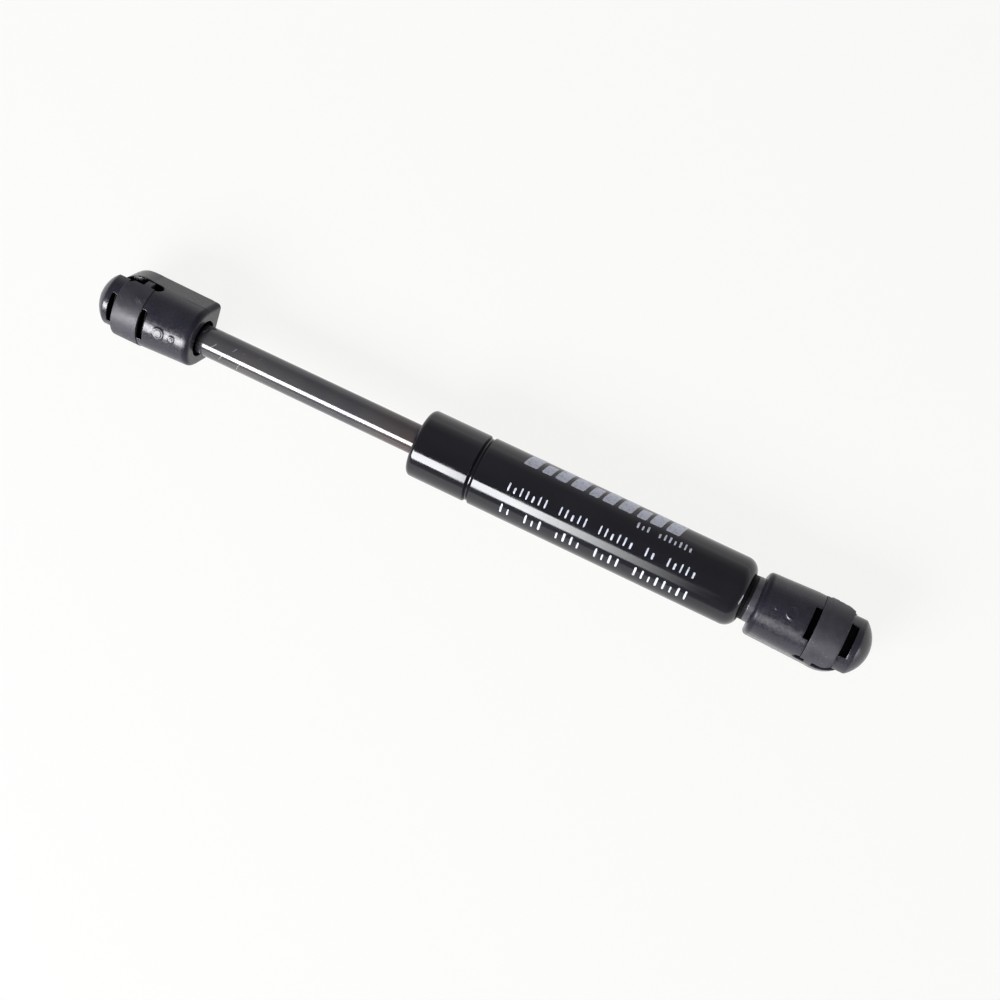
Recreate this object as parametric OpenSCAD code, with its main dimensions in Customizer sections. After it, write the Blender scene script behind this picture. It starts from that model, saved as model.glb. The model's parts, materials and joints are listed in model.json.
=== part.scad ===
// Gas strut stay: a small gas spring with a quick-release ball socket at each end.
// X runs along the strut, from the rod end (-X) to the tube end (+X). The origin is the
// centre of the tube-end socket's ball seat, and that socket's mouth faces -Z.
// The strut is drawn with its rod fully out.

/* [Overall] */
// Distance between the two ball centres with the rod fully out
centre_distance = 192.5; // [190:0.1:195]
// How far the rod travels into the tube
stroke = 50.8; // [30:0.1:51]
// Turn of the rod-end socket's mouth about the strut, away from the tube-end one
rod_end_turn = 34; // [0:1:359]

/* [Tube] */
// Outside radius of the tube
tube_r = 9; // [8.95:0.01:9.1]
// Wall thickness of the tube
tube_wall = 1.2; // [1.15:0.01:1.25]
// Length of the tube
tube_len = 90.1; // [90:0.1:91]
// Corner radius at the closed base of the tube
base_round = 3.6; // [3.2:0.1:3.8]
// Corner radius where the open end is rolled in over the guide
rolled_round = 1.4; // [1.1:0.1:1.5]
// Distance from the rolled end to the groove that holds the guide package
groove_from_end = 16.8; // [16.6:0.1:17]
// Depth of that groove
groove_depth = 0.55; // [0.45:0.05:0.65]

/* [Rod] */
// Radius of the rod, 5/16 inch across
rod_r = 3.97; // [3.9:0.01:4]
// Major radius of the M6 threads on the rod and on the base stud
thread_r = 2.97; // [2.9:0.01:2.98]
// Pitch of those threads
thread_pitch = 1; // [0.75:0.25:1.25]

/* [Ball socket] */
// Radius of the seat for a 10 mm ball
seat_r = 5.05; // [5.02:0.01:5.1]
// Distance from the ball's centre to the flat around the mouth
mouth_depth = 6.5; // [6.3:0.1:6.7]
// Distance from the ball's centre to the tip of the dome
dome_reach = 11.15; // [11:0.05:11.3]
// Distance from the ball's centre to the threaded end
shank_reach = 18.3; // [18.2:0.1:19]
// Body radius at the threaded end
shank_end_r = 8.05; // [7.95:0.05:8.1]
// Body radius beside the clip
shank_root_r = 8.6; // [8.55:0.05:8.65]
// Width of the slot on each side that the clip's fingers enter
slot_w = 3; // [2.8:0.1:3.1]

/* [Clip] */
// Outside radius of the spring clip
clip_r = 8.75; // [8.7:0.05:8.8]
// Thickness of the clip's strip
clip_t = 0.7; // [0.65:0.05:0.75]
// Width of the clip's band
clip_w = 7.5; // [7.4:0.05:7.6]
// Half of the angle that the band wraps round the back of the socket
clip_wrap = 71.3; // [70:0.1:73]
// Width of each finger
finger_w = 1.9; // [1.7:0.1:2]

/* [Hidden] */
$fn = 96;
over = 1;            // how far a cutting tool runs past the surface it cuts
slack = 0.05;        // gap between pieces that lie against each other

black_paint = [0.09, 0.09, 0.10];
nitrided = [0.22, 0.22, 0.24];
nylon = [0.16, 0.16, 0.18];
clip_steel = [0.30, 0.30, 0.33];
zinc = [0.62, 0.64, 0.66];
rubber = [0.06, 0.06, 0.06];
bronze = [0.66, 0.50, 0.28];
acetal = [0.82, 0.81, 0.76];

// Stations along X, worked out from the origin towards the rod end
neck_len = 2.5;
shoulder_len = 1.65;
base_x = -shank_reach - neck_len;
tube_end_x = base_x - tube_len;
rod_face_x = -centre_distance + shank_reach;
bore_r = tube_r - tube_wall;
base_wall = 1.8;
groove_x = tube_end_x + groove_from_end;

// Parts of the ball socket, in its own frame: ball centre at 0, strut towards +X, mouth -Z
band_dome_x = -3.9;
band_shank_x = band_dome_x + clip_w;
seat_band_r = clip_r - clip_t - slack;
dome_cap_r = 9.1;
dome_r = 7.25;
dome_gap = 0.4;       // width of the relief between the band and the dome
dome_gap_r = 6.5;
jaw_nose_x = -0.35;
jaw_nose_r = 8.8;
jaw_wider = 0.1;
jaw_corner_r = 1.9;
face_round = 1.3;
slot_z = -0.2;
slot_end_x = 5.2;
dome_slot_w = 1.1;
slot_web_y = 3.2;
finger_x = 1.3;
finger_in_y = seat_r + 0.1;
finger_tip_z = -3.6;
finger_z = 0.3;
side_gap = 0.1;
thread_hole_r = 3;
thread_hole_x = 7;
recess_r = 4.9;
recess_depth = 1.2;
pocket_half_y = 4;
shank_pocket_w = 1.7;
shank_pocket_depth = 3;
dome_pocket_w = 2.2;
dome_pocket_depth = 2.6;
mark_x = [9.6, 13.4];
mark_r = [1.5, 0.8];
mark_line = 0.3;
mark_h = 0.12;

// The guide package, from the rolled end inwards
lip_t = 1.2;
lip_hole_r = 6;
washer_r = bore_r - 0.1;
rod_gap = 0.04;
retaining_x = tube_end_x + lip_t + slack;
retaining_t = 1;
wiper_x = retaining_x + retaining_t + slack;
wiper_t = 1.8;
guide_x = wiper_x + wiper_t + slack;
guide_len = 7.9;
ring_groove_w = 2.1;
o_ring_r = 0.85;
seal_x = guide_x + guide_len + slack;
seal_len = 3;
support_x = seal_x + seal_len + slack;
support_t = 0.7;
ridge_r = 1;
ridge_out = 0.55;     // how far outside the bore the ridge's centre lies

// The piston package, from the groove's ridge inwards
washer_front_r = 7.1;
front_x = groove_x + 0.9;
plate_t = 1;
piston_x = front_x + plate_t;
piston_len = 6.5;
disc_x = piston_x + piston_len;
disc_t = 0.3;
rear_x = disc_x + disc_t;
rivet_x = rear_x + plate_t;
rivet_t = 1.2;
rivet_r = 3;
spigot_r = 2.6;
piston_r = bore_r - 0.15;
piston_groove_r = 6.1;
piston_groove_w = 2.2;
orifice_r = 0.5;
orifice_z = 4.3;
valve_disc_r = 5.3;
rear_washer_r = 5.6;

assert(rivet_x + rivet_t + stroke < base_x - base_wall, "the piston would hit the tube's base");

// Turns a flat outline, drawn as [radius, x], about the strut's axis
module turned() {
    rotate([0, 90, 0]) rotate_extrude() children();
}

// A plain turned ring between two radii
module ring(inner, outer, x, len) {
    turned() translate([inner, x]) square([outer - inner, len]);
}

// Flat outline of a bar with a rounded corner at each end
module bar_outline(r, x0, x1, round0, round1) {
    translate([0, x0 + round0]) square([r, x1 - round1 - x0 - round0]);
    translate([0, x0]) square([r - round0, x1 - x0]);
    translate([0, x0]) square([r - round1, x1 - x0]);
    translate([r - round0, x0 + round0]) circle(round0);
    translate([r - round1, x1 - round1]) circle(round1);
}

// A turned thread, drawn as a row of ring grooves
module thread(r, x, len) {
    depth = 0.5 * thread_pitch;
    turned() difference() {
        translate([0, x]) square([r, len]);
        for (i = [1 : floor(len / thread_pitch) - 1])
            translate([r, x + i * thread_pitch])
                polygon([[0.01, -depth * 0.6], [-depth, 0], [0.01, depth * 0.6]]);
    }
}

module pressure_tube() {
    groove_tool_r = 0.85;
    inner_round = base_round - tube_wall;
    color(black_paint) turned() difference() {
        union() {
            difference() {
                bar_outline(tube_r, tube_end_x, base_x, rolled_round, base_round);
                bar_outline(bore_r, tube_end_x + lip_t, base_x - base_wall, 0.2, inner_round);
            }
            intersection() {
                bar_outline(tube_r, tube_end_x, base_x, rolled_round, base_round);
                translate([bore_r + ridge_out, groove_x]) circle(ridge_r);
            }
        }
        translate([tube_r - groove_depth + groove_tool_r, groove_x]) circle(groove_tool_r);
        translate([0, tube_end_x - over]) square([lip_hole_r, lip_t + 2 * over]);
        translate([0, base_x - base_wall - over]) square([thread_hole_r, base_wall + 2 * over]);
    }
}

module base_stud() {
    weld_r = 5.8;
    shoulder_r = 5.9;
    weld_len = neck_len - shoulder_len;
    stud_end_x = -thread_hole_x - 0.4;
    shoulder_x = -shank_reach - shoulder_len;
    color(nitrided) {
        ring(0, thread_r, base_x - base_wall, base_wall);
        ring(0, weld_r, base_x, weld_len);
        turned() bar_outline(shoulder_r, shoulder_x, -shank_reach, 0.25, 0.1);
        thread(thread_r, -shank_reach, stud_end_x + shank_reach);
    }
}

module retaining_washer() {
    color(zinc) ring(rod_r + 0.2, washer_r, retaining_x, retaining_t);
}

module wiper_ring() {
    lip_len = 0.6;
    color(rubber) {
        ring(rod_r + 0.3, washer_r, wiper_x, wiper_t);
        ring(rod_r + slack, rod_r + 0.4, wiper_x, lip_len);
    }
}

module guide_bush() {
    groove_x0 = guide_x + (guide_len - ring_groove_w) / 2;
    ring_groove_depth = 1.7;
    color(acetal) turned() difference() {
        translate([rod_r + rod_gap, guide_x]) square([washer_r - rod_r - rod_gap, guide_len]);
        translate([washer_r - ring_groove_depth, groove_x0])
            square([ring_groove_depth + over, ring_groove_w]);
    }
}

module guide_o_ring() {
    ring_gap = 0.04;
    color(rubber) turned()
        translate([bore_r - o_ring_r - ring_gap, guide_x + guide_len / 2]) circle(o_ring_r);
}

module rod_seal() {
    lip_w = 0.9;
    color(rubber) turned() difference() {
        translate([rod_r + slack, seal_x]) square([washer_r - rod_r - slack, seal_len]);
        translate([rod_r + slack + lip_w, seal_x + 1.2])
            square([washer_r - rod_r - 2 * lip_w, seal_len]);
        translate([rod_r - over, seal_x + 0.7]) square([over + 0.25, 1.1]);
    }
}

module seal_support_washer() {
    color(zinc) ring(rod_r + 0.2, washer_r, support_x, support_t);
}

// The dome, the band's seat and the shank, all round about the strut's axis
module socket_turned() {
    turned() union() {
        intersection() {
            translate([0, dome_cap_r - dome_reach]) circle(dome_cap_r);
            translate([0, -dome_reach]) square([dome_r, dome_reach + band_dome_x - dome_gap]);
        }
        translate([0, band_dome_x - over]) square([dome_gap_r, 2 * over]);
        translate([0, band_dome_x + slack]) square([seat_band_r, clip_w + over]);
        polygon([[0, band_shank_x], [shank_root_r, band_shank_x],
            [shank_end_r, shank_reach - face_round], [0, shank_reach - face_round]]);
        translate([shank_end_r - face_round, shank_reach - face_round]) circle(face_round);
        translate([0, shank_reach - 2 * face_round]) square([shank_end_r - face_round, 2 * face_round]);
    }
}

// Outline of the jaw, seen along the ball's axis
module jaw_outline() {
    end_y = shank_end_r + jaw_wider;
    end_x = shank_reach - face_round;
    translate([jaw_nose_x, 0]) circle(jaw_nose_r);
    polygon([[jaw_nose_x, jaw_nose_r - jaw_wider], [end_x, end_y],
        [end_x, -end_y], [jaw_nose_x, jaw_wider - jaw_nose_r]]);
    translate([0, face_round - end_y]) square([shank_reach, 2 * (end_y - face_round)]);
    for (s = [-1, 1]) translate([end_x, s * (end_y - face_round)]) circle(face_round);
}

// Cross-section of the jaw, with its mouth edges rounded
module jaw_section() {
    half_y = jaw_nose_r + 3 * jaw_wider;
    inner_y = half_y - jaw_corner_r;
    translate([-inner_y, -mouth_depth]) square([2 * inner_y, 2 * mouth_depth]);
    translate([-half_y, jaw_corner_r - mouth_depth]) square([2 * half_y, 2 * mouth_depth]);
    for (s = [-1, 1]) translate([s * inner_y, jaw_corner_r - mouth_depth]) circle(jaw_corner_r);
}

// The straight-sided half of the socket, from the slots down to the flat mouth
module socket_jaw() {
    long = 3 * (dome_reach + shank_reach);
    lap = 0.3;
    intersection() {
        translate([0, 0, -mouth_depth - over])
            linear_extrude(slot_z + lap + mouth_depth + over) jaw_outline();
        translate([-long / 2, 0, 0]) rotate([90, 0, 90]) linear_extrude(long) jaw_section();
    }
}

// The seat that the ball goes into, with a lead-in round its mouth
module ball_cavity() {
    lead = 0.4;
    rotate_extrude() {
        intersection() {
            circle(seat_r);
            square(2 * seat_r);
        }
        translate([0, -mouth_depth - over]) square([seat_r, mouth_depth + over + 0.01]);
        polygon([[0, -mouth_depth - over], [seat_r + lead + over, -mouth_depth - over],
            [seat_r, lead - mouth_depth], [0, lead - mouth_depth]]);
    }
}

// The hole for the thread, with a recess that takes the end of the rod
module thread_hole() {
    translate([thread_hole_x, 0, 0]) rotate([0, 90, 0]) cylinder(r = thread_hole_r, h = shank_reach);
    translate([shank_reach - recess_depth, 0, 0]) rotate([0, 90, 0])
        cylinder(r = recess_r, h = recess_depth + over);
}

// Slots on both sides that part the jaw from the back, lower where they run out through the dome
module side_slots() {
    end_r = slot_w / 2;
    reach = 2 * jaw_nose_r;
    for (y = [slot_web_y, -slot_web_y - reach]) translate([0, y, 0]) rotate([90, 0, 0]) mirror([0, 0, 1])
        linear_extrude(reach) {
            translate([band_dome_x, slot_z]) square([slot_end_x - end_r - band_dome_x, slot_w]);
            translate([-2 * dome_reach, slot_z]) square([2 * dome_reach, dome_slot_w]);
            translate([slot_end_x - end_r, slot_z + end_r]) circle(end_r);
        }
}

// Channels in the seat's wall for the clip's fingers
module finger_channels() {
    wide = finger_w + 2 * side_gap;
    deep = finger_in_y + clip_t + side_gap;
    bottom = finger_tip_z - 0.3;
    translate([finger_x - wide / 2, -deep, bottom]) cube([wide, 2 * deep, slot_z + over - bottom]);
}

// Pockets beside the band, for the screwdriver that lifts the clip
module pry_pockets() {
    translate([band_shank_x - slack, -pocket_half_y, shank_root_r - shank_pocket_depth])
        cube([shank_pocket_w, 2 * pocket_half_y, 2 * shank_pocket_depth]);
    translate([band_dome_x + slack - dome_pocket_w, -pocket_half_y, dome_r - dome_pocket_depth])
        cube([dome_pocket_w, 2 * pocket_half_y, 2 * dome_pocket_depth]);
}

// Two plain moulded rings on the back of the shank
module mould_marks() {
    sunk = 0.6;
    slope = (shank_root_r - shank_end_r) / (shank_reach - face_round - band_shank_x);
    for (i = [0, 1]) {
        z = shank_root_r - (mark_x[i] - band_shank_x) * slope;
        translate([mark_x[i], 0, z - sunk]) difference() {
            cylinder(r = mark_r[i], h = sunk + mark_h);
            translate([0, 0, -over]) cylinder(r = mark_r[i] - mark_line, h = sunk + mark_h + 2 * over);
        }
    }
}

module ball_socket() {
    color(nylon) {
        difference() {
            union() {
                intersection() {
                    socket_turned();
                    translate([-2 * dome_reach, -2 * dome_r, slot_z])
                        cube([3 * shank_reach + dome_reach, 4 * dome_r, 2 * dome_r]);
                }
                socket_jaw();
            }
            ball_cavity();
            thread_hole();
            side_slots();
            finger_channels();
            pry_pockets();
        }
        mould_marks();
    }
}

// An arc of strip that starts at +Z and turns towards +Y
module clip_arc(sweep, x, wide) {
    translate([x, 0, 0]) rotate([90, 0, 90]) rotate([0, 0, 90])
        rotate_extrude(angle = sweep) translate([clip_r - clip_t, 0]) square([clip_t, wide]);
}

// What is cut from the strip below its band, so that only a finger is left there
module beside_finger() {
    low_z = -over;
    band_end_z = clip_r * cos(clip_wrap);
    chamfer = 1.7;
    finger_x0 = finger_x - finger_w / 2;
    finger_x1 = finger_x + finger_w / 2;
    rotate([90, 0, 0]) linear_extrude(2 * clip_r, center = true) {
        translate([band_dome_x - over, low_z]) square([finger_x0 - band_dome_x + over, band_end_z - low_z]);
        translate([finger_x1, low_z]) square([2 * clip_w, band_end_z - low_z]);
        polygon([[band_dome_x - over, low_z], [band_dome_x - over, band_end_z + chamfer + over],
            [band_dome_x, band_end_z + chamfer], [band_dome_x + chamfer, band_end_z],
            [band_dome_x + chamfer, low_z]]);
    }
}

// One finger: in through the slot, then along the seat's wall
module clip_finger() {
    x0 = finger_x - finger_w / 2;
    outer_y = clip_r - 0.2 * clip_t;
    translate([x0, -outer_y, finger_z]) cube([finger_w, outer_y - finger_in_y, clip_t]);
    translate([x0, -finger_in_y - clip_t, finger_tip_z])
        cube([finger_w, clip_t, finger_z + clip_t - finger_tip_z]);
}

module clip() {
    finger_sweep = 86;
    color(clip_steel) {
        difference() {
            rotate([-finger_sweep, 0, 0]) clip_arc(2 * finger_sweep, band_dome_x, clip_w - slack);
            beside_finger();
        }
        clip_finger();
        mirror([0, 1, 0]) clip_finger();
    }
}

module at_tube_end() {
    rotate([0, 0, 180]) children();
}

module at_rod_end() {
    translate([-centre_distance, 0, 0]) rotate([rod_end_turn, 0, 0]) children();
}

module tube_end_socket() {
    at_tube_end() ball_socket();
}

module rod_end_socket() {
    at_rod_end() ball_socket();
}

module tube_end_clip() {
    at_tube_end() clip();
}

module rod_end_clip() {
    at_rod_end() clip();
}

module piston_rod() {
    shoulder_x = rod_face_x - recess_depth;
    thread_end_x = -centre_distance + thread_hole_x + 0.4;
    color(nitrided) {
        ring(0, rod_r, shoulder_x, front_x - shoulder_x);
        thread(thread_r, thread_end_x, shoulder_x - thread_end_x);
        ring(0, spigot_r, front_x, rivet_x - front_x);
        turned() bar_outline(rivet_r, rivet_x, rivet_x + rivet_t, 0.1, 0.5);
    }
}

module piston_front_washer() {
    color(zinc) ring(spigot_r + slack, washer_front_r, front_x, plate_t);
}

module piston() {
    groove_x0 = piston_x + (piston_len - piston_groove_w) / 2;
    color(zinc) difference() {
        turned() difference() {
            translate([spigot_r + slack, piston_x]) square([piston_r - spigot_r - slack, piston_len]);
            translate([piston_groove_r, groove_x0]) square([piston_r, piston_groove_w]);
        }
        for (a = [0, 180]) rotate([a, 0, 0]) translate([piston_x - over, 0, orifice_z])
            rotate([0, 90, 0]) cylinder(r = orifice_r, h = piston_len + 2 * over, $fn = 24);
    }
}

module piston_ring() {
    gap = 0.8;
    inner = piston_groove_r + slack;
    color(bronze) difference() {
        ring(inner, bore_r - slack, piston_x + (piston_len - piston_groove_w) / 2 + slack,
            piston_groove_w - 2 * slack);
        translate([piston_x, -gap / 2, 0]) cube([piston_len, gap, 2 * bore_r]);
    }
}

module piston_valve_disc() {
    color(clip_steel) ring(spigot_r + slack, valve_disc_r, disc_x, disc_t);
}

module piston_rear_washer() {
    color(zinc) ring(spigot_r + slack, rear_washer_r, rear_x, plate_t);
}

pressure_tube();
base_stud();
retaining_washer();
wiper_ring();
guide_bush();
guide_o_ring();
rod_seal();
seal_support_washer();
tube_end_socket();
tube_end_clip();
piston_ring();
piston_rod();
piston();
piston_front_washer();
piston_valve_disc();
piston_rear_washer();
rod_end_socket();
rod_end_clip();
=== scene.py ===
"""Looks of the gas strut stay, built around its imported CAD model."""

import json
import math

import bmesh
import bpy
from mathutils import Matrix, Vector


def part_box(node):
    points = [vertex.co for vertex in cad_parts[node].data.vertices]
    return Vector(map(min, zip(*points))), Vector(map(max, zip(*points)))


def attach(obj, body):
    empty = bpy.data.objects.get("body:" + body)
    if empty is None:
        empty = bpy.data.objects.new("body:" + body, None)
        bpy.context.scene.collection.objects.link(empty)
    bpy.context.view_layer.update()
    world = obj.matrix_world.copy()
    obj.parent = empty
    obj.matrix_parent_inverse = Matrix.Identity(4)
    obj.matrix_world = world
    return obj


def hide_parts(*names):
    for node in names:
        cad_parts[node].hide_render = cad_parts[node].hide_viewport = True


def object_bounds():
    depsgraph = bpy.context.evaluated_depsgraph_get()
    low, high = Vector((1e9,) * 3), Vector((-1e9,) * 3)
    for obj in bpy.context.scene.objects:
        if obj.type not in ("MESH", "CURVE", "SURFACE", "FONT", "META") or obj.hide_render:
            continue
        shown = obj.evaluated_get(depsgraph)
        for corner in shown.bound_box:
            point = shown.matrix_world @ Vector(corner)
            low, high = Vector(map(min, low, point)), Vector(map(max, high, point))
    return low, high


MM = 0.001
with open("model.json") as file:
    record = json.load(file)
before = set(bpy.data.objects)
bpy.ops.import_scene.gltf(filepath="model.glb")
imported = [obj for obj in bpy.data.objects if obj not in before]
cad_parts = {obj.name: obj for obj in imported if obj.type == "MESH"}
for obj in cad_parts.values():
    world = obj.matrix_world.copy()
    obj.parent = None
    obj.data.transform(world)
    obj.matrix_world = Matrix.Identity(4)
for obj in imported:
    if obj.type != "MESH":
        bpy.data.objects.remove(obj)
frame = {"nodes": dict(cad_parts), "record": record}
cad_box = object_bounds()

# Camera: looks down on the strut from the front, a little past the middle of it
CAMERA_AZIMUTH = 26.51
CAMERA_ELEVATION = 72.5
CAMERA_ROUND_STRUT = -10.0
CAMERA_DISTANCE = 372.7 * MM
CAMERA_AIM_X = -88.4 * MM
CAMERA_AIM_UP = -5.2 * MM
CAMERA_LENS = 53.5

# Mesh settings
ROUND_SEGMENTS = 256
SHARP_ANGLE = 40

# Tube, in millimetres
TUBE_LIP = 1.2
TUBE_LIP_HOLE_R = 6.0
TUBE_LIP_EDGE = 0.12
TUBE_WALL = 1.2
TUBE_END_ROUND = 1.4
TUBE_BASE_ROUND = 3.6
TUBE_BASE_WALL = 1.8
TUBE_BASE_INNER_ROUND = 2.4
STUD_HOLE_R = 3.0
GROOVE_FROM_END = 16.8
GROOVE_DEPTH = 0.55
GROOVE_R = 0.85
GROOVE_SHOULDER_R = 0.22

# Rod, in millimetres
THREAD_R = 2.97
THREAD_LEN = 9.7
THREAD_PITCH = 1.0
THREAD_DEPTH = 0.5
SHOULDER_ROUND = 0.15
SPIGOT_R = 2.6
SPIGOT_LEN = 10.0
RIVET_R = 3.0
RIVET_LEN = 1.2
RIVET_ROUND = 0.3

# Sockets and clips, in millimetres
WELD_DISTANCE = 0.0005
SOCKET_VOXEL = 0.19
CLIP_VOXEL = 0.1
SMOOTHING_STEPS = 3
FACE_EDGE_DEPTH = 2.0

# Printed bars: lengths in millimetres, and the gap between groups in gaps between bars
PRINT_LIFT = 0.012
PRINT_CORNER = 0.2
PRINT_STEPS = 10
PRINT_GROUP_GAP = 3
SHORT_BAR = 0.72

# Floor and lights: the floor in metres, the lights in millimetres and degrees
FLOOR_HALF_WIDTH = 3.0
FLOOR_GAP = 0.1 * MM
FLOOR_GLOW = 0.88
LIGHT_AWAY = 1000.0
DAYLIGHT = (0.97, 0.98, 1, 1)
WINDOW_ELEVATIONS = (21.0, 46.5)
WINDOW_LEFT, WINDOW_FADE_FROM, WINDOW_RIGHT = -900.0, -235.0, 15.0
WINDOW_FADE_POWER = 1.7
WINDOW_GLOW = 23.0
SIDE_LAMP_ELEVATIONS = (3, 11)
SIDE_LAMP_AZIMUTHS = (-24, -2)
SIDE_LAMP_GLOW = 12.0


# ---------------------------------------------------------------- mesh helpers

def to_object(bm, name):
    """Turns a bmesh in millimetres into a shaded object in metres."""
    mesh = bpy.data.meshes.new(name)
    bmesh.ops.scale(bm, vec=(MM, MM, MM), verts=bm.verts)
    bm.to_mesh(mesh)
    bm.free()
    mesh.shade_smooth()
    mesh.set_sharp_from_angle(angle=math.radians(SHARP_ANGLE))
    obj = bpy.data.objects.new(name, mesh)
    bpy.context.scene.collection.objects.link(obj)
    return obj


def arc(cx, cr, radius, start, end, steps):
    """Points (x, r) along an arc, with angles in degrees from +x towards +r."""
    turn = [math.radians(start + (end - start) * i / steps) for i in range(steps + 1)]
    return [(cx + radius * math.cos(a), cr + radius * math.sin(a)) for a in turn]


def lathe(name, outline, closed):
    """Turns an outline of (x, r) points about the strut's axis. An open outline starts and ends on it."""
    bm = bmesh.new()
    rings = []
    for x, r in outline:
        if r < 1e-6:
            rings.append([bm.verts.new((x, 0, 0))])
            continue
        turns = [2 * math.pi * i / ROUND_SEGMENTS for i in range(ROUND_SEGMENTS)]
        rings.append([bm.verts.new((x, r * math.sin(a), r * math.cos(a))) for a in turns])
    pairs = list(zip(rings, rings[1:]))
    if closed:
        pairs.append((rings[-1], rings[0]))
    for a, b in pairs:
        for i in range(ROUND_SEGMENTS):
            j = (i + 1) % ROUND_SEGMENTS
            corners = [a[i % len(a)], a[j % len(a)], b[j % len(b)], b[i % len(b)]]
            bm.faces.new(list(dict.fromkeys(corners)))
    bmesh.ops.recalc_face_normals(bm, faces=bm.faces)
    return to_object(bm, name)


def moulded(name, node, voxel):
    """A finer copy of a CAD node, with every edge softened as moulding or tumbling leaves it."""
    bm = bmesh.new()
    bm.from_mesh(frame["nodes"][node].data)
    bmesh.ops.scale(bm, vec=(1 / MM, 1 / MM, 1 / MM), verts=bm.verts)
    bmesh.ops.remove_doubles(bm, verts=bm.verts, dist=WELD_DISTANCE)
    mesh = bpy.data.meshes.new(name)
    bm.to_mesh(mesh)
    bm.free()
    obj = bpy.data.objects.new(name, mesh)
    bpy.context.scene.collection.objects.link(obj)
    remesh = obj.modifiers.new("remesh", "REMESH")
    remesh.mode = "VOXEL"
    remesh.voxel_size = voxel
    smooth = obj.modifiers.new("smooth", "SMOOTH")
    smooth.factor = 0.5
    smooth.iterations = SMOOTHING_STEPS
    evaluated = obj.evaluated_get(bpy.context.evaluated_depsgraph_get())
    final = bpy.data.meshes.new_from_object(evaluated)
    final.transform(Matrix.Scale(MM, 4))
    obj.modifiers.clear()
    obj.data = final
    final.name = name
    final.shade_smooth()
    return obj


# ---------------------------------------------------------------- materials

def fill_ramp(node, stops):
    """Sets a new colour ramp's stops, each a (position, colour) pair."""
    for i, (at, colour) in enumerate(stops):
        element = node.color_ramp.elements[i] if i < 2 else node.color_ramp.elements.new(at)
        element.position = at
        element.color = (*colour, 1)


def fill_range(node, low, high, out_low, out_high):
    """Sets a map range node's limits."""
    for key, number in (("From Min", low), ("From Max", high), ("To Min", out_low), ("To Max", out_high)):
        node.inputs[key].default_value = number


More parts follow.
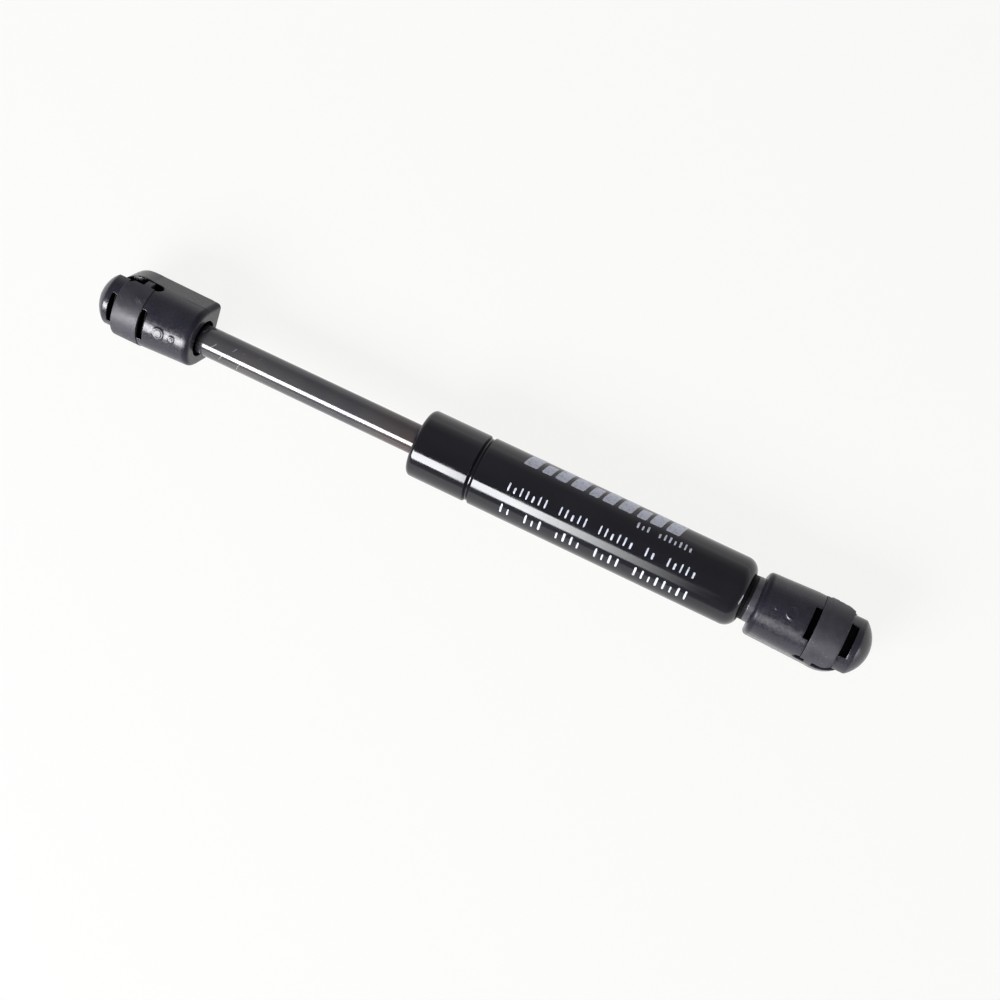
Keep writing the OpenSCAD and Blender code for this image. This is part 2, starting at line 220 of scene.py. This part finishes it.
class Surface:
    """A Principled material whose detail comes from noise in the strut's own coordinates."""

    def __init__(self, name, colour, roughness, metallic=0.0, specular=0.5):
        self.material = bpy.data.materials.new(name)
        self.material.use_nodes = True
        self.tree = self.material.node_tree
        self.shader = self.tree.nodes["Principled BSDF"]
        self.shader.inputs["Base Color"].default_value = (*colour, 1)
        self.shader.inputs["Roughness"].default_value = roughness
        self.shader.inputs["Metallic"].default_value = metallic
        self.shader.inputs["Specular IOR Level"].default_value = specular
        self.place = self.tree.nodes.new("ShaderNodeTexCoord").outputs["Object"]
        self.height = None

    def link(self, a, b):
        self.tree.links.new(a, b)

    def noise(self, per_mm, stretch=(1, 1, 1), detail=4.0, distortion=0.0, turn=0.0):
        """Noise with about per_mm grains to the millimetre, stretched along the axes after a turn about Z."""
        source = self.place
        if turn:
            turned = self.tree.nodes.new("ShaderNodeMapping")
            turned.inputs["Rotation"].default_value = (0, 0, turn)
            self.link(source, turned.inputs["Vector"])
            source = turned.outputs["Vector"]
        mapping = self.tree.nodes.new("ShaderNodeMapping")
        mapping.inputs["Scale"].default_value = [per_mm / MM / s for s in stretch]
        self.link(source, mapping.inputs["Vector"])
        node = self.tree.nodes.new("ShaderNodeTexNoise")
        node.inputs["Scale"].default_value = 1.0
        node.inputs["Detail"].default_value = detail
        node.inputs["Distortion"].default_value = distortion
        self.link(mapping.outputs["Vector"], node.inputs["Vector"])
        return node.outputs["Fac"]

    def ramp(self, value, stops):
        """A colour ramp over value. stops are (position, colour)."""
        node = self.tree.nodes.new("ShaderNodeValToRGB")
        fill_ramp(node, stops)
        self.link(value, node.inputs["Fac"])
        return node.outputs["Color"]

    def range(self, value, low, high, out_low, out_high):
        """value from low to high, mapped to out_low to out_high."""
        node = self.tree.nodes.new("ShaderNodeMapRange")
        fill_range(node, low, high, out_low, out_high)
        self.link(value, node.inputs["Value"])
        return node.outputs["Result"]

    def mix(self, amount, a, b):
        """Mixes two colours, each an output or a plain colour, by amount."""
        node = self.tree.nodes.new("ShaderNodeMix")
        node.data_type = "RGBA"
        self.link(amount, node.inputs["Factor"])
        for key, value in ((6, a), (7, b)):
            if isinstance(value, tuple):
                node.inputs[key].default_value = (*value, 1)
            else:
                self.link(value, node.inputs[key])
        return node.outputs[2]

    def power(self, base, exponent):
        """An output raised to a fixed exponent."""
        node = self.tree.nodes.new("ShaderNodeMath")
        node.operation = "POWER"
        node.inputs[1].default_value = exponent
        self.link(base, node.inputs[0])
        return node.outputs[0]

    def multiply(self, a, b):
        """The product of two outputs."""
        node = self.tree.nodes.new("ShaderNodeMath")
        node.operation = "MULTIPLY"
        self.link(a, node.inputs[0])
        self.link(b, node.inputs[1])
        return node.outputs[0]

    def colour_from(self, output):
        self.link(output, self.shader.inputs["Base Color"])

    def roughness_from(self, output):
        self.link(output, self.shader.inputs["Roughness"])

    def shine_from(self, output):
        self.link(output, self.shader.inputs["Specular IOR Level"])

    def bump(self, output, depth_mm, strength=1.0):
        """Adds a bump of that depth on top of the earlier ones."""
        node = self.tree.nodes.new("ShaderNodeBump")
        node.inputs["Strength"].default_value = strength
        node.inputs["Distance"].default_value = depth_mm * MM
        self.link(output, node.inputs["Height"])
        if self.height:
            self.link(self.height, node.inputs["Normal"])
        self.height = node.outputs["Normal"]
        self.link(self.height, self.shader.inputs["Normal"])

    def openness(self, reach_mm):
        """1 on open surfaces, falling to 0 in crevices narrower than reach_mm."""
        node = self.tree.nodes.new("ShaderNodeAmbientOcclusion")
        node.samples = 32
        node.inputs["Distance"].default_value = reach_mm * MM
        return node.outputs["AO"]

    def along(self):
        """Position along the strut, in metres."""
        split = self.tree.nodes.new("ShaderNodeSeparateXYZ")
        self.link(self.place, split.inputs["Vector"])
        return split.outputs["X"]

    def face_edge(self, node, side):
        """1 on the rounded edge of a socket's flat face, and 0 elsewhere.

        side is 1 where the face looks towards +X, and 0 where it looks towards -X.
        """
        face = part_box(node)[side].x
        depth = (-FACE_EDGE_DEPTH if side else FACE_EDGE_DEPTH) * MM
        inwards = self.range(self.along(), face, face + depth, 0, 1)
        black, white = (0, 0, 0), (1, 1, 1)
        return self.ramp(inwards, [(0.02, black), (0.12, white), (0.65, white), (0.95, black)])


def tube_paint():
    """Black enamel over drawn steel: glossy, with orange peel and faint handling marks."""
    s = Surface("tube_paint", (0.006, 0.006, 0.008), 0.1)
    cloud = s.noise(0.12, (3, 1, 1))
    s.colour_from(s.ramp(cloud, [(0.3, (0.005, 0.005, 0.007)), (0.7, (0.009, 0.009, 0.012))]))
    s.roughness_from(s.range(s.noise(0.5, (4, 1, 1)), 0.3, 0.7, 0.08, 0.15))
    # painted shade on both walls of the rolled groove and a painted reflection along its bottom: the shine drops
    # beside the groove and rises at its centre
    groove_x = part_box("pressure_tube")[0].x + GROOVE_FROM_END * MM
    across = s.range(s.along(), groove_x - MM, groove_x + MM, 0, 1)
    plain_shine, groove_shade, groove_glint = (0.5,) * 3, (0.04,) * 3, (0.9,) * 3
    s.shine_from(s.ramp(across, [(0.08, plain_shine), (0.18, groove_shade), (0.42, groove_shade), (0.48, groove_glint),
                                 (0.52, groove_glint), (0.58, groove_shade), (0.82, groove_shade), (0.92, plain_shine)]))
    s.bump(s.noise(0.9, detail=2), 0.004, 0.6)
    s.bump(s.noise(7, (6, 1, 1), detail=1), 0.0008, 0.4)
    return s.material


def rod_nitrided():
    """Black nitrided and polished rod: fine grinding lines, a brownish bloom near the tube, a few nicks, and
    painted shade beside the socket's face and at the tube's end.
    """
    s = Surface("rod_nitrided", (0.09, 0.09, 0.095), 0.1, metallic=0.4)
    socket_face, tube_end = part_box("rod_end_socket")[1].x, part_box("pressure_tube")[0].x
    bloom = s.multiply(s.range(s.along(), tube_end - 16 * MM, tube_end, 0, 1), s.noise(0.15, detail=3))
    warm = s.noise(0.06, (1, 3, 3), detail=2)
    grey = s.ramp(warm, [(0.35, (0.072, 0.072, 0.078)), (0.65, (0.095, 0.09, 0.09))])
    steel = s.mix(bloom, grey, (0.09, 0.055, 0.048))
    near_socket = s.range(s.along(), socket_face + 4 * MM, socket_face + 22 * MM, 1, 0)
    nicks = s.multiply(near_socket, s.range(s.noise(0.7, (0.35, 3, 3), turn=0.6, detail=2), 0.68, 0.7, 0, 1))
    worn = s.mix(nicks, steel, (0.45, 0.45, 0.47))
    # painted shade: the rod goes near black and loses its shine where nearby parts crowd it, beside the socket's
    # face and where it enters the tube
    unshaded = s.range(s.openness(4), 0.4, 0.75, 0, 1)
    s.colour_from(s.mix(unshaded, (0.002, 0.002, 0.002), worn))
    s.shine_from(s.range(unshaded, 0, 1, 0.03, 0.5))
    s.roughness_from(s.range(s.noise(0.8, (1, 5, 5)), 0.3, 0.7, 0.06, 0.13))
    s.bump(s.noise(14, (1, 40, 40), detail=1), 0.0006, 0.5)
    return s.material


def socket_nylon():
    """Moulded black nylon: satin, slightly grained, paler in soft random patches, with painted shade in its
    crevices, round the rod and on the rounded edges of its faces.
    """
    s = Surface("socket_nylon", (0.02, 0.02, 0.025), 0.45)
    cloud = s.noise(0.25, detail=5)
    plain = s.ramp(cloud, [(0.3, (0.012, 0.012, 0.018)), (0.7, (0.021, 0.019, 0.028))])
    # painted shade: the nylon goes near black and loses its shine in crevices and in the recess round the rod
    unshaded = s.range(s.openness(5), 0.35, 0.7, 0, 1)
    s.colour_from(s.mix(unshaded, (0.0015, 0.0015, 0.002), plain))
    # painted shade on the rounded edges of the sockets' faces: their shine drops there
    painted_edge_dimming = s.range(s.face_edge("tube_end_socket", 0), 0, 1, 1, 0.3)
    painted_edge_dimming = s.multiply(painted_edge_dimming, s.range(s.face_edge("rod_end_socket", 1), 0, 1, 1, 0.3))
    s.shine_from(s.multiply(s.range(unshaded, 0, 1, 0.04, 0.5), painted_edge_dimming))
    s.roughness_from(s.range(s.noise(1.2), 0.3, 0.7, 0.2, 0.35))
    s.bump(s.noise(0.9, detail=3), 0.01, 0.5)
    s.bump(s.noise(0.35, detail=1), 0.03, 0.6)
    return s.material


def clip_steel():
    """Blackened spring steel, with bright scuffs where tools and balls have worn it."""
    s = Surface("clip_steel", (0.035, 0.035, 0.04), 0.5)
    fine = s.range(s.noise(3.2, (14, 1, 1), detail=3, turn=0.7), 0.62, 0.72, 0.0, 0.8)
    patches = s.range(s.noise(0.22, detail=2), 0.45, 0.6, 0.0, 1.0)
    scuffs = s.multiply(fine, patches)
    grain = s.noise(0.4, detail=5)
    dark = s.ramp(grain, [(0.3, (0.02, 0.019, 0.026)), (0.7, (0.034, 0.032, 0.041))])
    s.colour_from(s.mix(scuffs, dark, (0.2, 0.2, 0.23)))
    s.roughness_from(s.range(grain, 0.3, 0.7, 0.42, 0.58))
    s.bump(s.noise(3, (2, 1, 1), detail=4), 0.006, 0.5)
    return s.material


def stud_black():
    """Blackened turned steel, rough and darker on the weld beside the tube."""
    s = Surface("stud_black", (0.05, 0.05, 0.06), 0.35)
    tube_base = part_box("pressure_tube")[1].x
    weld = s.range(s.along(), tube_base + 0.8 * MM, tube_base + 0.95 * MM, 1.0, 0.0)
    lumps = s.noise(1.6, detail=4)
    plain = s.ramp(s.noise(0.5), [(0.3, (0.04, 0.04, 0.05)), (0.7, (0.07, 0.068, 0.08))])
    rough = s.ramp(lumps, [(0.35, (0.004, 0.004, 0.005)), (0.7, (0.016, 0.015, 0.015))])
    s.colour_from(s.mix(weld, plain, rough))
    s.roughness_from(s.range(weld, 0, 1, 0.28, 0.6))
    s.shine_from(s.range(weld, 0, 1, 0.5, 0.15))
    s.bump(s.multiply(lumps, weld), 0.25, 1.0)
    return s.material


def print_ink():
    """Pale screen-printing ink, thin enough to let the paint through here and there."""
    s = Surface("print_ink", (0.62, 0.63, 0.7), 0.5)
    worn = s.noise(1.3, detail=6)
    s.colour_from(s.ramp(worn, [(0.28, (0.34, 0.35, 0.4)), (0.5, (0.58, 0.6, 0.68))]))
    s.bump(s.noise(4, detail=2), 0.003, 0.5)
    return s.material


def zinc_steel():
    """Zinc plated steel, faintly turned."""
    s = Surface("zinc_steel", (0.6, 0.62, 0.64), 0.32, metallic=1.0)
    s.roughness_from(s.range(s.noise(2, detail=3), 0.3, 0.7, 0.25, 0.42))
    s.bump(s.noise(6, (1, 6, 6), detail=1), 0.002, 0.4)
    return s.material


def rubber():
    """Moulded nitrile rubber."""
    s = Surface("rubber", (0.02, 0.02, 0.021), 0.7)
    s.roughness_from(s.range(s.noise(1.5), 0.3, 0.7, 0.6, 0.8))
    s.bump(s.noise(4, detail=3), 0.004, 0.5)
    return s.material


def guide_plastic():
    """Pale turned acetal."""
    s = Surface("guide_plastic", (0.7, 0.69, 0.63), 0.45)
    s.colour_from(s.ramp(s.noise(0.3), [(0.3, (0.66, 0.65, 0.58)), (0.7, (0.74, 0.73, 0.68))]))
    s.bump(s.noise(8, (1, 12, 12), detail=1), 0.002, 0.4)
    return s.material


def piston_bronze():
    """Bronze filled piston ring."""
    s = Surface("piston_ring_bronze", (0.5, 0.35, 0.17), 0.35, metallic=1.0)
    s.roughness_from(s.range(s.noise(2), 0.3, 0.7, 0.28, 0.45))
    s.bump(s.noise(6, (1, 8, 8), detail=1), 0.002, 0.4)
    return s.material


def piston_alloy():
    """Turned aluminium."""
    s = Surface("piston_alloy", (0.62, 0.62, 0.64), 0.3, metallic=1.0)
    s.roughness_from(s.range(s.noise(2), 0.3, 0.7, 0.24, 0.4))
    s.bump(s.noise(10, (1, 20, 20), detail=1), 0.002, 0.5)
    return s.material


MATERIALS = {
    "tube_paint": tube_paint(),
    "stud_black": stud_black(),
    "zinc_steel": zinc_steel(),
    "rubber": rubber(),
    "guide_plastic": guide_plastic(),
    "socket_nylon": socket_nylon(),
    "clip_steel": clip_steel(),
    "piston_ring_bronze": piston_bronze(),
    "rod_nitrided": rod_nitrided(),
    "piston_alloy": piston_alloy(),
}


# ---------------------------------------------------------------- the visible pieces

def mm_box(node):
    """Lowest and highest corner of a CAD node, in millimetres."""
    low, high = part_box(node)
    return low / MM, high / MM


def finer_tube():
    """The tube, with its rolled end, its rolled groove and its rounded base as smooth arcs."""
    low, high = mm_box("pressure_tube")
    x0, x1, r = low.x, high.x, (high.z - low.z) / 2
    bore = r - TUBE_WALL
    groove_x = x0 + GROOVE_FROM_END
    lift = GROOVE_R - GROOVE_DEPTH
    # the groove's arc meets a small shoulder arc on each side, which runs out into the tube
    span = math.sqrt((GROOVE_R + GROOVE_SHOULDER_R) ** 2 - (lift + GROOVE_SHOULDER_R) ** 2)
    meet = math.degrees(math.atan2(lift + GROOVE_SHOULDER_R, span))
    shoulder_r = r - GROOVE_SHOULDER_R
    outline = arc(x0 + TUBE_LIP_EDGE, TUBE_LIP_HOLE_R + TUBE_LIP_EDGE, TUBE_LIP_EDGE, 270, 180, 4)
    outline += arc(x0 + TUBE_END_ROUND, r - TUBE_END_ROUND, TUBE_END_ROUND, 180, 90, 16)
    outline += arc(groove_x - span, shoulder_r, GROOVE_SHOULDER_R, 90, meet, 8)
    outline += arc(groove_x, r + lift, GROOVE_R, 180 + meet, 360 - meet, 16)[1:-1]
    outline += arc(groove_x + span, shoulder_r, GROOVE_SHOULDER_R, 180 - meet, 90, 8)
    outline += arc(x1 - TUBE_BASE_ROUND, r - TUBE_BASE_ROUND, TUBE_BASE_ROUND, 90, 0, 28)
    outline += [(x1, STUD_HOLE_R), (x1 - TUBE_BASE_WALL, STUD_HOLE_R)]
    outline += arc(x1 - TUBE_BASE_WALL - TUBE_BASE_INNER_ROUND, bore - TUBE_BASE_INNER_ROUND,
                   TUBE_BASE_INNER_ROUND, 0, 90, 8)
    outline += [(x0 + TUBE_LIP, bore), (x0 + TUBE_LIP, TUBE_LIP_HOLE_R)]
    return lathe("tube_shell", outline, closed=True)


def finer_rod():
    """The rod: thread, polished shaft and the spigot that carries the piston, with its peened end."""
    low, high = mm_box("piston_rod")
    x0, x1, r = low.x, high.x, (high.z - low.z) / 2
    thread_end, spigot_from, rivet_from = x0 + THREAD_LEN, x1 - SPIGOT_LEN, x1 - RIVET_LEN
    outline = [(x0, 0)]
    outline += thread_outline(x0, thread_end)
    outline += [(thread_end, THREAD_R - THREAD_DEPTH)]
    outline += arc(thread_end + SHOULDER_ROUND, r - SHOULDER_ROUND, SHOULDER_ROUND, 180, 90, 4)
    outline += [(spigot_from, r), (spigot_from, SPIGOT_R), (rivet_from, SPIGOT_R), (rivet_from, RIVET_R)]
    outline += arc(x1 - RIVET_ROUND, RIVET_R - RIVET_ROUND, RIVET_ROUND, 90, 0, 4) + [(x1, 0)]
    return lathe("polished_rod", outline, closed=False)


def thread_outline(x0, x1):
    """Outline (x, r) of an M6 thread as ring grooves, with flat crests."""
    points = [(x0, THREAD_R - THREAD_DEPTH)]
    turns = int((x1 - x0) / THREAD_PITCH)
    for i in range(turns):
        start = x0 + i * THREAD_PITCH
        points += [(start + 0.35 * THREAD_PITCH, THREAD_R), (start + 0.65 * THREAD_PITCH, THREAD_R),
                   (start + THREAD_PITCH, THREAD_R - THREAD_DEPTH)]
    return points


def finer_sockets_and_clips():
    """Each socket and clip as a softened copy of its CAD node."""
    for end, socket_body, clip_body in (("tube_end", "tube", "tube_clip"), ("rod_end", "rod", "rod_clip")):
        socket = moulded(f"{end}_socket_body", f"{end}_socket", SOCKET_VOXEL)
        dress(socket, "socket_nylon", socket_body, f"{end}_socket")
        clip = moulded(f"{end}_spring_clip", f"{end}_clip", CLIP_VOXEL)
        dress(clip, "clip_steel", clip_body, f"{end}_clip")


def dress(piece, slot, body, replaced):
    """Gives a new piece its material and its body, and hides the CAD node that it stands for."""
    piece.data.materials.clear()
    piece.data.materials.append(MATERIALS[slot])
    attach(piece, body)
    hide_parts(replaced)


def ink_patch(bm, tube_r, x, width, angle, height, corner, slant):
    """One closed patch of ink on the tube. angle runs from +Z towards -Y, in degrees."""
    outer, inner = tube_r + PRINT_LIFT, tube_r - PRINT_LIFT
    levels = []
    for i in range(PRINT_STEPS + 1):
        v = -height / 2 + height * i / PRINT_STEPS
        over = max(0.0, abs(v) - (height / 2 - corner))
        pull = corner - math.sqrt(max(0.0, corner ** 2 - over ** 2))
        half = width / 2 - pull
        turn = math.radians(angle) + v / tube_r
        shift = -slant * v
        levels.append([
            bm.verts.new((x + shift + s * half, -r * math.sin(turn), r * math.cos(turn)))
            for r in (outer, inner) for s in (-1, 1)
        ])
    for a, b in zip(levels, levels[1:]):
        for i, j in ((0, 1), (1, 3), (3, 2), (2, 0)):
            bm.faces.new((a[i], a[j], b[j], b[i]))
    for end in (levels[0], levels[-1]):
        bm.faces.new((end[0], end[1], end[3], end[2]))


def ink_row(bm, tube_r, start, end, groups, angle, height, slant):
    """A row of plain bars in groups, spread from start to end in millimetres along the strut.

    groups is a list of groups. Each is a list of (width, share of the height) of its bars.
    """
    gaps = sum(len(group) - 1 for group in groups) + PRINT_GROUP_GAP * (len(groups) - 1)
    ink = sum(width for group in groups for width, _ in group)
    gap = (end - start - ink) / gaps
    x = start
    for group in groups:
        for width, share in group:
            drop = height * (1 - share) / 2 / tube_r
            corner = min(PRINT_CORNER, width * 0.4)
            ink_patch(bm, tube_r, x + width / 2, width, angle + math.degrees(drop), height * share, corner, slant)
            x += width + gap
        x += (PRINT_GROUP_GAP - 1) * gap


def bars(counts, widths):
    """Groups of bars, with widths taken in turn and every third bar a little shorter."""
    groups, first = [], 0
    for count in counts:
        groups.append([(widths[i % len(widths)], SHORT_BAR if i % 3 == 1 else 1.0)
                       for i in range(first, first + count)])
        first += count + 1
    return groups


def print_marks():
    """Rows of plain bars where such a tube carries its printing. They spell nothing."""
    low, high = mm_box("pressure_tube")
    tube_r = (high.z - low.z) / 2
    bm = bmesh.new()
    # start and end along the strut, bars in each group, widths of the bars, turn round the tube, height, slant
    for start, end, counts, widths, angle, height, slant in (
        (-83.3, -41.2, (10,), (3.7, 2.6, 3.2), -55.5, 6.2, 0.2),
        (-52.1, -37.7, (3, 7), (0.5, 0.42), -22.5, 1.7, 0.0),
        (-84.5, -34.5, (7, 5, 6, 2, 5), (0.42, 0.52, 0.38), 11, 2.3, 0.0),
        (-84.5, -34.3, (2, 3, 4, 4, 8), (0.5, 0.42, 0.56), 51, 3.0, 0.0),
    ):
        ink_row(bm, tube_r, start, end, bars(counts, widths), angle, height, slant)
    bmesh.ops.recalc_face_normals(bm, faces=bm.faces)
    marks = to_object(bm, "printed_bars")
    marks.data.materials.append(print_ink())
    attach(marks, "tube")


for entry in frame["record"]["subparts"]:
    node = frame["nodes"][entry["node"]]
    node.data.materials.clear()
    node.data.materials.append(MATERIALS[entry["material_slot"]])
    for polygon in node.data.polygons:
        polygon.material_index = 0

dress(finer_tube(), "tube_paint", "tube", "pressure_tube")
dress(finer_rod(), "rod_nitrided", "rod", "piston_rod")
finer_sockets_and_clips()
print_marks()


# ---------------------------------------------------------------- floor, light and camera

def add_floor():
    """A white floor just under the strut, which glows softly so that it hardly takes a shadow."""
    bm = bmesh.new()
    bmesh.ops.create_grid(bm, x_segments=2, y_segments=2, size=FLOOR_HALF_WIDTH / MM)
    floor = to_object(bm, "floor")
    floor.location.z = cad_box[0][2] - FLOOR_GAP
    s = Surface("floor_white", (0.07, 0.07, 0.07), 0.8, specular=0.1)
    s.shader.inputs["Emission Color"].default_value = (1, 0.995, 0.985, 1)
    s.shader.inputs["Emission Strength"].default_value = FLOOR_GLOW
    floor.data.materials.append(s.material)


def add_world():
    """A dim room: brighter towards the horizon and at the back."""
    world = bpy.data.worlds.new("room")
    world.use_nodes = True
    tree = world.node_tree
    place = tree.nodes.new("ShaderNodeTexCoord")
    split = tree.nodes.new("ShaderNodeSeparateXYZ")
    tree.links.new(place.outputs["Generated"], split.inputs["Vector"])
    height = tree.nodes.new("ShaderNodeValToRGB")
    levels = [(0.0, 0.8), (0.25, 0.45), (0.6, 0.22), (1.0, 0.2)]
    fill_ramp(height, [(at, (level * 0.98, level * 0.98, level * 1.06)) for at, level in levels])
    tree.links.new(split.outputs["Z"], height.inputs["Fac"])
    back = tree.nodes.new("ShaderNodeMapRange")
    fill_range(back, -0.8, 0.8, 0.45, 1.5)
    tree.links.new(split.outputs["Y"], back.inputs["Value"])
    background = tree.nodes["Background"]
    tree.links.new(height.outputs["Color"], background.inputs["Color"])
    tree.links.new(back.outputs["Result"], background.inputs["Strength"])
    bpy.context.scene.world = world


def add_window():
    """A bright window low in front of the strut. It ends level with the strut's middle and fades there."""
    low, high = (math.radians(elevation) for elevation in WINDOW_ELEVATIONS)
    bm = bmesh.new()
    corners = []
    for a, xs in ((low, (WINDOW_LEFT, WINDOW_RIGHT)), (high, (WINDOW_RIGHT, WINDOW_LEFT))):
        corners += [bm.verts.new((x, -LIGHT_AWAY * math.cos(a), LIGHT_AWAY * math.sin(a))) for x in xs]
    bm.faces.new(corners)
    window = to_object(bm, "window")
    s = Surface("window_glow", (0, 0, 0), 1.0, specular=0.0)
    fade = s.power(s.range(s.along(), WINDOW_FADE_FROM * MM, WINDOW_RIGHT * MM, 1.0, 0.0), WINDOW_FADE_POWER)
    s.link(s.range(fade, 0, 1, 0, WINDOW_GLOW), s.shader.inputs["Emission Strength"])
    s.shader.inputs["Emission Color"].default_value = DAYLIGHT
    window.data.materials.append(s.material)


def add_side_lamp():
    """A small bright patch low beyond the tube's base, seen in the base's rounding and on the dome."""
    low, high = (math.radians(elevation) for elevation in SIDE_LAMP_ELEVATIONS)
    near, far = (math.radians(azimuth) for azimuth in SIDE_LAMP_AZIMUTHS)
    bm = bmesh.new()
    corners = []
    for e, a in ((low, near), (low, far), (high, far), (high, near)):
        towards = Vector((math.cos(e) * math.cos(a), math.cos(e) * math.sin(a), math.sin(e)))
        corners.append(bm.verts.new(towards * LIGHT_AWAY))
    bm.faces.new(corners)
    lamp = to_object(bm, "side_lamp")
    s = Surface("side_lamp_glow", (0, 0, 0), 1.0, specular=0.0)
    s.shader.inputs["Emission Strength"].default_value = SIDE_LAMP_GLOW
    s.shader.inputs["Emission Color"].default_value = DAYLIGHT
    lamp.data.materials.append(s.material)


def add_camera():
    """Looks down on the strut, with the whole view turned a little about the strut's axis."""
    azimuth, elevation = math.radians(CAMERA_AZIMUTH), math.radians(CAMERA_ELEVATION)
    right = Vector((math.cos(azimuth), math.sin(azimuth), 0))
    look = Vector((-math.sin(azimuth) * math.cos(elevation), math.cos(azimuth) * math.cos(elevation),
                   -math.sin(elevation)))
    up = right.cross(look)
    aim = Vector((CAMERA_AIM_X, 0, 0)) + up * CAMERA_AIM_UP
    turn = Matrix.Rotation(math.radians(CAMERA_ROUND_STRUT), 4, "X")
    data = bpy.data.cameras.new("camera")
    data.lens = CAMERA_LENS
    data.sensor_width = 36
    data.clip_start = 0.01
    camera = bpy.data.objects.new("camera", data)
    axes = Matrix((right, up, -look)).transposed().to_4x4()
    camera.matrix_world = turn @ Matrix.Translation(aim - look * CAMERA_DISTANCE) @ axes
    bpy.context.scene.collection.objects.link(camera)
    bpy.context.scene.camera = camera


add_floor()
add_world()
add_window()
add_side_lamp()
add_camera()
bpy.context.scene.view_settings.view_transform = "Standard"
